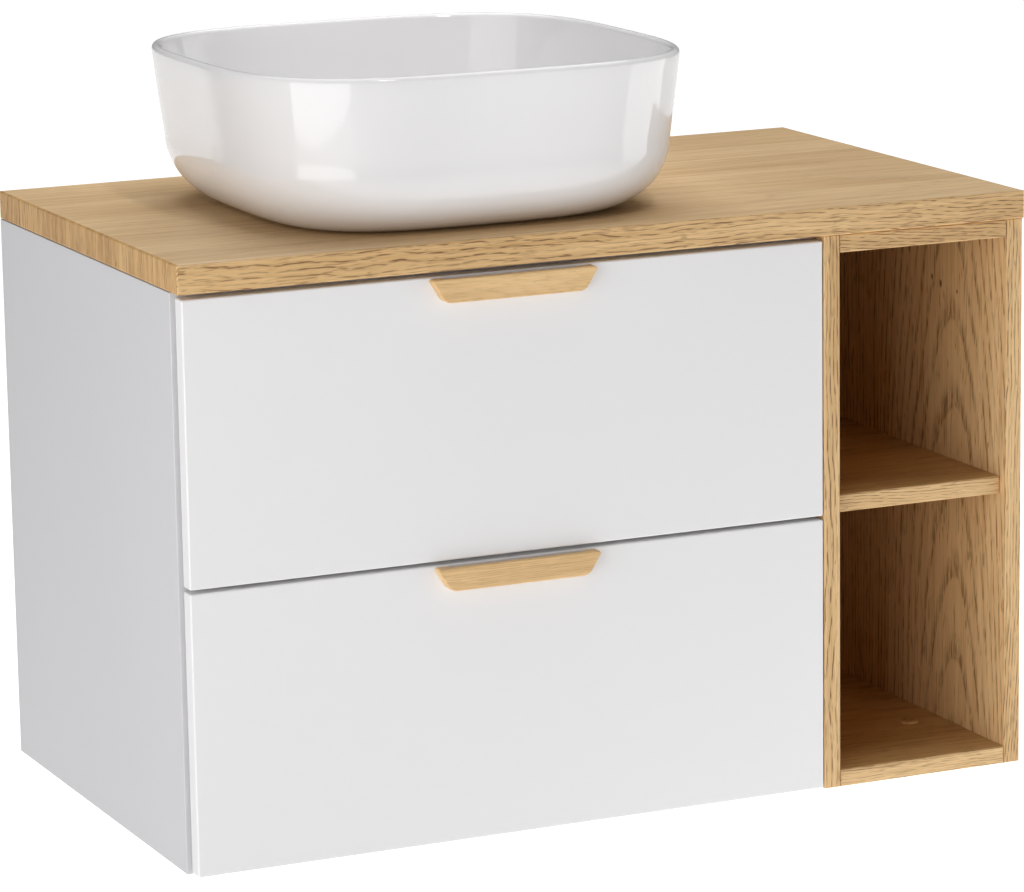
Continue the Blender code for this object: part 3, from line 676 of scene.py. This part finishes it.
def make_drain():
    flange, flange_low = 0.0325, DRAIN_TOP - 0.0025
    tail_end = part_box("drain_body")[0].z
    # Four holes in a web round the cap's stem
    web_low, web_high, web_bore = DRAIN_TOP - 0.036, DRAIN_TOP - 0.032, STEM_R + 0.0004
    profile = fillet(
        [(TAIL_BORE, DRAIN_TOP), (flange, DRAIN_TOP), (flange, flange_low), (TAIL_R, flange_low),
         (TAIL_R, tail_end), (TAIL_BORE, tail_end), (TAIL_BORE, web_low), (web_bore, web_low),
         (web_bore, web_high), (TAIL_BORE, web_high)], 0.0009, 4)
    holes = []
    for k in range(4):
        turn = pi / 4 + k * pi / 2
        at = (BASIN_X + 0.012 * cos(turn), BASIN_Y + 0.012 * sin(turn), web_low)
        holes.append(turned_data(rectangle(0, -0.015, 0.004, 0.015), at, steps=32))
    data = carve(turned_data(profile, DRAIN_AXIS), holes)
    piece_from("drain_body_chrome", data, "drain_body", ["chrome"])
    for ring in range(7):
        at = 0.030 - ring * 0.0035
        thread = [(TAIL_R - 0.0004, at), (TAIL_R + 0.0002, at - 0.0006), (TAIL_R - 0.0004, at - 0.0012)]
        turned(f"drain_thread_{ring}", "drain_body", thread, DRAIN_AXIS, "chrome", stands=False)
    for name in ("drain_flange_gasket", "drain_lower_gasket"):
        low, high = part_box(name)
        ring = fillet(rectangle(0.0215, low.z, (high.x - low.x) / 2, high.z), 0.0006, 4)
        turned(f"{name}_ring", name, ring, DRAIN_AXIS, "rubber")
    low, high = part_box("drain_lock_nut")
    corners = fillet([(BASIN_X + x, BASIN_Y + y) for x, y in arc((0, 0), 0.0318, 0, 300, 5)], 0.0015, 3)
    bore = turned_data(rectangle(0, -0.03, 0.0213, 0.03), (BASIN_X, BASIN_Y, low.z))
    face, rim, chamfer = 0.0290, 0.0322, 0.003
    cone = fillet([(0, low.z), (face, low.z), (rim, low.z + chamfer), (rim, high.z - chamfer), (face, high.z),
                   (0, high.z)], 0.0005, 2)
    nut = carve(prism_data(corners, "Z", (low.z, high.z)), [turned_data(cone, DRAIN_AXIS)], "INTERSECT")
    piece_from("drain_lock_nut_hex", carve(nut, [bore]), "drain_lock_nut", ["zinc"])


def make_drain_cap():
    low = DRAIN_TOP + 0.0006
    radius, edge, stem_end = 0.0315, low + 0.0014, low - 0.046
    profile = [(radius * sin(t * pi / 18), edge + 0.0037 * (1 - (t / 9) ** 2.2)) for t in range(9)]
    profile += [(radius - 0.0004, edge), (radius, low + 0.0010), (radius, low + 0.0003),
                (radius - 0.0003, low), (STEM_R, low), (STEM_R, stem_end + 0.0005),
                (STEM_R - 0.0006, stem_end), (0, stem_end)]
    turned("drain_cap_dome", "drain_cap", profile, DRAIN_AXIS, "chrome")


def make_trap():
    """A bottle trap under the drain."""
    nut = fillet([(SLIP_NUT_BORE, 0.018), (SLIP_NUT_BORE, -0.002), (SLIP_NUT_LIP, -0.002),
                  (SLIP_NUT_LIP, -0.0045), (SLIP_NUT_R, -0.0045), (SLIP_NUT_R, 0.018)], 0.0012, 4)
    data = merged(turned_data(nut, DRAIN_AXIS), *grip_ribs(SLIP_NUT_R, -0.001, 0.0165, 24, DRAIN_AXIS))
    piece_from("trap_inlet_nut_ribbed", data, "trap_inlet_nut", ["trap"])
    low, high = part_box("trap_inlet_tube")
    tube = fillet([(TUBE_BORE, high.z), (TUBE_BORE, low.z), (TUBE_R, low.z), (TUBE_R, -0.0015),
                   (0.0200, -0.0015), (0.0200, high.z)], 0.0005, 3)
    turned("trap_inlet_tube_wall", "trap_inlet_tube", tube, DRAIN_AXIS, "trap")

    outlet = DRAIN_AXIS + Vector((0, 0, -0.131))
    barrel, barrel_low, barrel_high, neck_high = 0.028, -0.168, -0.098, -0.083
    shell = fillet([(0, barrel_low), (barrel, barrel_low), (barrel, barrel_high), (0.021, barrel_high),
                    (0.021, neck_high), (0, neck_high)], 0.003, 5)
    boss = turned_data(fillet(rectangle(0, 0, TAIL_R, 0.048), 0.001, 3), outlet, "Y")
    cavity = turned_data(rectangle(0, -0.176, barrel - 0.0025, -0.102), DRAIN_AXIS)
    neck = turned_data(rectangle(0, -0.13, TUBE_R + GAP, -0.07), DRAIN_AXIS)
    mouth = turned_data(rectangle(0, 0.010, TUBE_R + GAP, 0.07), outlet, "Y")
    body = carve(carve(turned_data(shell, DRAIN_AXIS), [boss], "UNION"), [cavity, neck, mouth])
    collar = turned_data(fillet(rectangle(SLIP_NUT_BORE, -0.0905, 0.0245, neck_high), 0.0008, 3), DRAIN_AXIS)
    data = merged(body, collar, *grip_ribs(0.0240, -0.0900, -0.0835, 20, DRAIN_AXIS))
    piece_from("trap_body_barrel", data, "trap_body", ["trap"])

    cup = fillet(
        [(0.0285, -0.155), (0.0285, -0.1685), (0.0240, -0.1685), (0.0240, -0.198), (0.0190, -0.2085),
         (0.0100, -0.2125), (0, -0.2130), (0, -0.2155), (0.0110, -0.2150), (0.0210, -0.2105),
         (0.0265, -0.1990), (0.0265, -0.1745), (0.0308, -0.1725), (0.0308, -0.155)], 0.0015, 4)
    data = merged(turned_data(cup, DRAIN_AXIS), *grip_ribs(0.0306, -0.1710, -0.1565, 28, DRAIN_AXIS))
    piece_from("trap_cup_ribbed", data, "trap_cup", ["trap"])

    nut = fillet([(SLIP_NUT_BORE, 0.034), (SLIP_NUT_R, 0.034), (SLIP_NUT_R, 0.052), (SLIP_NUT_LIP, 0.052),
                  (SLIP_NUT_LIP, 0.0495), (SLIP_NUT_BORE, 0.0495)], 0.0012, 4)
    data = merged(turned_data(nut, outlet, "Y"), *grip_ribs(SLIP_NUT_R, 0.0355, 0.0485, 24, outlet, "Y"))
    piece_from("trap_outlet_nut_ribbed", data, "trap_outlet_nut", ["trap"])
    pipe = fillet(rectangle(TUBE_BORE, 0.038, TUBE_R, -BASIN_Y), 0.0005, 3)
    turned("trap_outlet_pipe_wall", "trap_outlet_pipe", pipe, outlet, "trap", "Y")


# ---------------------------------------------------------------- cabinet, wall fixing, shelf unit


def make_cabinet():
    # The carcass boards take the darker white: painted shade.
    for side in SIDES:
        board(f"cabinet_panel_{side}", f"cabinet_side_{side}", "white", 0.0009, ["+y"])
    board("cabinet_floor", "cabinet_bottom", "white", 0.0009, ["+y"])
    board("cabinet_front_traverse", "cabinet_front_rail", "white", 0.0006, ["+y"])
    board("cabinet_rear_traverse", "cabinet_rear_rail", "white", 0.0006, ["+z", "-z"])
    board("cabinet_lower_traverse", "cabinet_lower_rail", "white", 0.0006, ["+z"])


def make_wall_rail():
    """A folded strip whose lip stands off the wall, with a row of slots for wall screws."""
    low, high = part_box("wall_rail")
    lip_front, lip_back = -0.007, -0.005
    section = fillet(
        [(0, low.z), (0, 0.012), (lip_back, 0.016), (lip_back, high.z), (lip_front, high.z),
         (lip_front, 0.015), (-0.002, 0.011), (-0.002, low.z)], 0.0007, 3)
    slots = []
    margin, last = 0.035, 8
    for k in range(last + 1):
        middle = low.x + margin + k * (high.x - low.x - 2 * margin) / last
        outline = arc((middle + 0.006, -0.004), 0.0038, -90, 90, 10)
        outline += arc((middle - 0.006, -0.004), 0.0038, 90, 270, 10)
        slots.append(prism_data(outline, "Y", (-0.01, 0.01)))
    data = carve(prism_data(section, "X", (low.x, high.x)), slots)
    piece_from("wall_rail_strip", data, "wall_rail", ["zinc"], sharp=SHARP_METAL)


def make_hanger(side):
    """A housing with two adjusting screws, and the hook that grips the wall rail's lip."""
    node = f"hanger_{side}"
    low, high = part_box(node)
    housing = prism_data(fillet(rectangle(low.y, low.z, high.y, high.z), 0.004, 5), "X", (low.x, high.x))
    round_edges(housing, [e for e in housing.edges if e.calc_face_angle(0) > CREASE], 0.0008, 3)
    middle = (low.x + high.x) / 2
    slot = box_data((middle - 0.0025, -0.063, 0.0215), (middle + 0.0025, 0.010, 0.0370))
    piece_from(f"{node}_housing", carve(housing, [slot]), node, ["zinc"])
    hook = f"hanger_hook_{side}"
    low_hook, high_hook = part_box(hook)
    throat, arm_low = -0.0045, high_hook.z - 0.0097
    outline = fillet([(low_hook.y, arm_low), (throat, arm_low), (throat, low_hook.z),
                      (high_hook.y, low_hook.z), (high_hook.y, high_hook.z),
                      (low_hook.y, high_hook.z)], 0.0012, 4)
    piece_from(f"{node}_hook", prism_data(outline, "X", (low_hook.x, high_hook.x)), hook, ["zinc"])
    for at_z, use in ((0.043, "height"), (0.010, "depth")):
        screw_head(f"{node}_{use}_screw", node, (middle, low.y, at_z), "Y", -1, 0.0045)


def make_shelf_unit():
    for side in SIDES:
        node = f"shelf_unit_side_{side}"
        low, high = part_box(node)
        board(f"shelf_unit_panel_{side}", node, "oak_side", 0.0004, ["+y"], (low.x, low.y + BAND, low.z))
        band(f"shelf_unit_panel_{side}_band", node, "band_z", low, (high.x, low.y + BAND, high.z), 1, low.y)
    for part in ("top", "shelf", "bottom"):
        node = f"shelf_unit_{part}"
        low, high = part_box(node)
        # The top, shelf and bottom boards take the darker oak: painted shade.
        board(f"{node}_board", node, "oak_shelf_painted_shade", 0.0004, low=(low.x, low.y + BAND, low.z))
        band(f"{node}_band", node, "band_x", low, (high.x, low.y + BAND, high.z), 1, low.y)
    board("shelf_unit_back_board", "shelf_unit_back", "oak_back", 0.0004, ["-z", "+z"])
    for row in ("front", "rear"):
        for side in SIDES:
            make_cover_cap(f"cover_cap_{row}_{side}")


def make_cover_cap(node):
    low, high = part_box(node)
    radius, plug = (high.x - low.x) / 2, 0.0068
    seat = high.z - 0.0012
    profile = [(0, high.z), (radius - 0.0016, high.z - 0.0001), (radius - 0.0008, high.z - 0.0003),
               (radius - 0.0002, high.z - 0.0007), (radius, seat + 0.0001), (radius, seat), (plug, seat),
               (plug, low.z), (0, low.z)]
    turned(f"{node}_disc", node, profile, ((low.x + high.x) / 2, (low.y + high.y) / 2, 0), "band_x", steps=64)


# ---------------------------------------------------------------- drawers and runners

INNER = {"left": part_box("cabinet_side_left")[1].x, "right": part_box("cabinet_side_right")[0].x}
INWARD = {"left": 1, "right": -1}
FRONT_LOW, FRONT_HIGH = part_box("upper_drawer_front")
FRONT_MIDDLE = (FRONT_LOW.x + FRONT_HIGH.x) / 2


def handle_outline(top, half, height):
    """A boat shape with slanted ends, small upper corners and large lower ones."""
    high_r, low_r, slant = 0.002, 0.010, 58
    facing = slant - 90
    high_x, high_z = half - high_r, top - high_r
    low_z = top - height + low_r
    low_x = high_x - (high_z - low_z) / tan(radians(slant)) - (low_r - high_r) / cos(radians(facing))
    right = arc((low_x, low_z), low_r, -90, facing, 14) + arc((high_x, high_z), high_r, facing, 90, 10)
    left = [(-x, z) for x, z in reversed(right)]
    return [(FRONT_MIDDLE + x, z) for x, z in right + left]


def make_front(level):
    front, handle = f"{level}_drawer_front", f"{level}_drawer_handle"
    board(f"{level}_front_panel", front, "lacquer", 0.0016, segments=5)
    low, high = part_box(handle)
    outline = handle_outline(high.z, (high.x - low.x) / 2, high.z - low.z)
    data = prism_data(outline, "Y", (low.y, high.y))
    round_edges(data, [e for e in data.edges if on_plane(e, 1, low.y)], 0.0014, 5)
    # A finger groove behind the top edge
    section = fillet(rectangle(high.y - 0.0048, high.z - 0.009, high.y + 0.004, high.z + 0.01), 0.0018, 4)
    groove = prism_data(section, "X", (FRONT_MIDDLE - 0.064, FRONT_MIDDLE + 0.064))
    data = carve(data, [groove])
    even_shading(piece_from(f"{level}_handle_grip", data, handle, ["oak_handle"], sharp=SHARP_METAL))
    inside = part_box(front)[1].y + GAP
    for side in SIDES:
        screw = f"{level}_handle_screw_{side}"
        low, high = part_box(screw)
        at = ((low.x + high.x) / 2, inside, (low.z + high.z) / 2)
        screw_head(f"{screw}_head", screw, at, "Y", 1, 0.004, 0.0022, stands=True)


def make_drawer_side(level, side):
    """Sheet steel folded into a side wall, with a ledge for the bottom board, seen from the front."""
    node = f"{level}_drawer_side_{side}"
    low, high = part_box(node)
    tall = high.z - low.z
    outer, inner, skin, ledge, reach, strip = 0.0040, 0.0162, 0.0012, 0.0062, 0.0260, 0.0205
    strip_end = outer + skin + 0.0006
    section = [
        (outer, 0), (outer, tall), (inner, tall), (inner, ledge), (reach, ledge), (reach, ledge - skin),
        (inner - skin, ledge - skin), (inner - skin, strip), (strip_end, strip), (strip_end, strip + 0.0015),
        (inner - skin, strip + 0.0015), (inner - skin, tall - skin), (outer + skin, tall - skin),
        (outer + skin, 0),
    ]
    outline = fillet([(INNER[side] + INWARD[side] * u, low.z + v) for u, v in section], 0.0016, 4)
    data = prism_data(outline, "Y", (low.y, high.y))
    piece_from(f"{level}_side_{side}_sheet", data, node, ["enamel"], sharp=SHARP_METAL)


# Sections of the runner's members, away from the cabinet side and above the runner's base
FIXED_MEMBER = [(GAP, -0.004), (0.0105, -0.004), (0.0105, 0.016), (0.0090, 0.016), (0.0090, -0.0025),
                (0.0018, -0.0025), (0.0018, 0.036), (GAP, 0.036)]
MIDDLE_MEMBER = [(0.0065, -0.0010), (0.0080, -0.0010), (0.0080, 0.0175), (0.0115, 0.0175), (0.0115, -0.0010),
                 (0.0130, -0.0010), (0.0130, 0.0190), (0.0065, 0.0190)]


def make_runner(level, side):
    face, inward = INNER[side], INWARD[side]
    node = f"{level}_runner_{side}"
    low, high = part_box(node)
    base = low.z + 0.004
    screw_z = base + 0.029

    def member(section, low, high):
        outline = fillet([(face + inward * u, base + v) for u, v in section], 0.0008, 3)
        return prism_data(outline, "Y", (low.y, high.y))

    holes = []
    for at_y in (low.y + 0.035, low.y + 0.099, low.y + 0.227, high.y - 0.05):
        at = (face + inward * 0.001, at_y, screw_z)
        holes.append(turned_data(rectangle(0, -0.004, 0.0022, 0.004), at, "X", 24))
    rail = carve(member(FIXED_MEMBER, low, high), holes)
    piece_from(f"{node}_rail", rail, node, ["zinc"], sharp=SHARP_METAL)
    for number, at_y in enumerate((low.y + 0.067, low.y + 0.195, high.y - 0.02)):
        at = (face + inward * 0.0018, at_y, screw_z)
        screw_head(f"{node}_screw_{number}", node, at, "X", inward, 0.0035, 0.0016, 0.001)
    node = f"{level}_runner_middle_{side}"
    channel = member(MIDDLE_MEMBER, *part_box(node))
    piece_from(f"{node}_channel", channel, node, ["zinc"], sharp=SHARP_METAL)


def guard_outline(grow, back):
    """The U round the trap, seen from above and grown outwards."""
    half, front, radius = 0.070 + grow, -0.305 - grow, 0.030 + grow
    left = arc((BASIN_X - half + radius, front + radius), radius, 180, 270, 18)
    right = arc((BASIN_X + half - radius, front + radius), radius, 270, 360, 18)
    return [(BASIN_X - half, back)] + left + right + [(BASIN_X + half, back)]


def make_lower_box():
    board("lower_box_floor", "lower_drawer_bottom", "grey_board", 0.0005, ["+y"])
    board("lower_box_back", "lower_drawer_back", "grey_board", 0.0005, ["-x", "+x"])


def make_upper_box():
    """A bottom and a back that leave room for the trap, and a guard along the notch."""
    low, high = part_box("upper_drawer_bottom")
    notch = prism_data(guard_outline(0, high.y + 0.02), "Z", (low.z - 0.01, high.z + 0.01))
    data = carve(box_data(low, high), [notch])
    for face in data.faces:
        if abs(face.normal.z) < 0.3:
            face.material_index = 1
    piece_from("upper_box_floor", data, "upper_drawer_bottom", ["grey_board", "core"], sharp=SHARP_METAL)
    low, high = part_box("upper_drawer_trap_guard")
    outline = guard_outline(0.003, high.y) + guard_outline(0, high.y)[::-1]
    data = prism_data(outline, "Z", (low.z, high.z))
    round_edges(data, [e for e in data.edges if on_plane(e, 2, high.z)], 0.0010, 3)
    piece_from("upper_box_guard", data, "upper_drawer_trap_guard", ["guard"], sharp=35)
    for side in SIDES:
        board(f"upper_box_back_{side}", f"upper_drawer_back_{side}", "grey_board", 0.0005, ["-x", "+x"])


def make_slides(level):
    for side in SIDES:
        make_drawer_side(level, side)
        make_runner(level, side)


# ---------------------------------------------------------------- studio

FLOOR_Z = -0.775
WHITE = (1, 1, 1)
WORLD_STRENGTH = 0.05
# name, azimuth in degrees, lower and upper edge, width, radiance
SOFTBOXES = (
    ("left_softbox", -57, -0.75, 0.5, 2.4, 3.0),
    ("left_softbox_top", -57, 0.5, 1.9, 2.4, 1.35),
    ("right_softbox", 74, -0.75, 0.55, 1.7, 1.7),
)
SOFTBOX_DISTANCE = 2.4


def add_light(name, kind, at, aim, power):
    data = bpy.data.lights.new(name, kind)
    data.energy = power
    made = add_object(name, data)
    made.location = at
    made.rotation_euler = (Vector(aim) - Vector(at)).to_track_quat("-Z", "Y").to_euler()
    return data


def area_light(name, at, aim, size, power):
    data = add_light(name, "AREA", at, aim, power)
    data.shape = "RECTANGLE"
    data.size, data.size_y = size


def make_floor():
    """A plain white floor that looks the same from every side, but gives less light from the front."""
    data = bmesh.new()
    bmesh.ops.create_circle(data, cap_ends=True, radius=40, segments=96)
    mesh = mesh_from("studio_floor", data)
    look = Look("studio_floor", roughness=0.9)
    look.set("Base Color", look.mix(look.noise(look.object_at, 0.8), (0.88, 0.88, 0.88), (0.90, 0.90, 0.90)))
    look.set("Emission Color", WHITE)
    across, depth = look.split(look.object_at)[:2]
    given = look.span(look.math("MULTIPLY_ADD", across, 2.4, depth), -1.8, -0.2, 0.17, 0.92)
    seen = look.node("ShaderNodeLightPath", {}).outputs["Is Camera Ray"]
    look.set("Emission Strength", look.math("MAXIMUM", given, seen))
    mesh.materials.append(look.material)
    floor = add_object("studio_floor", mesh)
    floor.location = (0, 0, FLOOR_Z)


def make_world():
    """Plain white surroundings that give the object only a little light."""
    world = bpy.data.worlds.new("studio")
    world.use_nodes = True
    nodes, links = world.node_tree.nodes, world.node_tree.links
    background = nodes["Background"]
    background.inputs["Color"].default_value = (*WHITE, 1)
    rays = nodes.new("ShaderNodeLightPath")
    strength = nodes.new("ShaderNodeMath")
    strength.operation = "MAXIMUM"
    strength.inputs[1].default_value = WORLD_STRENGTH
    links.new(rays.outputs["Is Camera Ray"], strength.inputs[0])
    links.new(strength.outputs[0], background.inputs["Strength"])
    bpy.context.scene.world = world


def make_lights():
    # A soft spot from above the front reaches into the bowl
    aim = (BASIN_X + 0.03, BASIN_Y + 0.06, BASIN_HIGH.z)
    spot = add_light("bowl_light", "SPOT", at=(-0.15, -1.9, 2.2), aim=aim, power=105)
    spot.spot_size = radians(13)
    spot.spot_blend = 0.7
    spot.shadow_soft_size = 0.12
    area_light("overhead", at=(0.6, 0.8, 3.0), aim=(0.6, 0.8, 0), size=(3.2, 4.0), power=100)
    middle = Vector((0, -0.3, 0))
    for name, azimuth, low, high, width, radiance in SOFTBOXES:
        turn, height = radians(azimuth), high - low
        off = Vector((sin(turn) * SOFTBOX_DISTANCE, -cos(turn) * SOFTBOX_DISTANCE, (low + high) / 2))
        at = middle + off
        area_light(name, at, (middle.x, middle.y, at.z), (width, height), radiance * pi * width * height)


CAMERA_AT = (-1.7236, -4.0713, 0.7344)
CAMERA_YAW, CAMERA_PITCH, CAMERA_ROLL = radians(24.183), radians(11.912), radians(-0.926)
LENS_MM, SENSOR_MM = 167.04, 36.0


def make_camera():
    data = bpy.data.cameras.new("camera")
    data.lens, data.sensor_width = LENS_MM, SENSOR_MM
    data.clip_start, data.clip_end = 0.1, 200.0
    camera = add_object("camera", data)
    level = cos(CAMERA_PITCH)
    forward = Vector((sin(CAMERA_YAW) * level, cos(CAMERA_YAW) * level, -sin(CAMERA_PITCH)))
    right = Vector((cos(CAMERA_YAW), -sin(CAMERA_YAW), 0))
    right = right * cos(CAMERA_ROLL) + right.cross(forward) * sin(CAMERA_ROLL)
    up = right.cross(forward)
    turn = Matrix((right, up, -forward)).transposed()
    camera.matrix_world = Matrix.Translation(CAMERA_AT) @ turn.to_4x4()
    bpy.context.scene.camera = camera


make_camera()
make_countertop()
make_basin()
make_drain()
make_drain_cap()
make_trap()
make_cabinet()
make_wall_rail()
for hanger_side in SIDES:
    make_hanger(hanger_side)
make_shelf_unit()
make_front("upper")
make_upper_box()
make_slides("upper")
make_front("lower")
make_lower_box()
make_slides("lower")
make_floor()
make_world()
make_lights()
bpy.context.scene.view_settings.view_transform = "Standard"
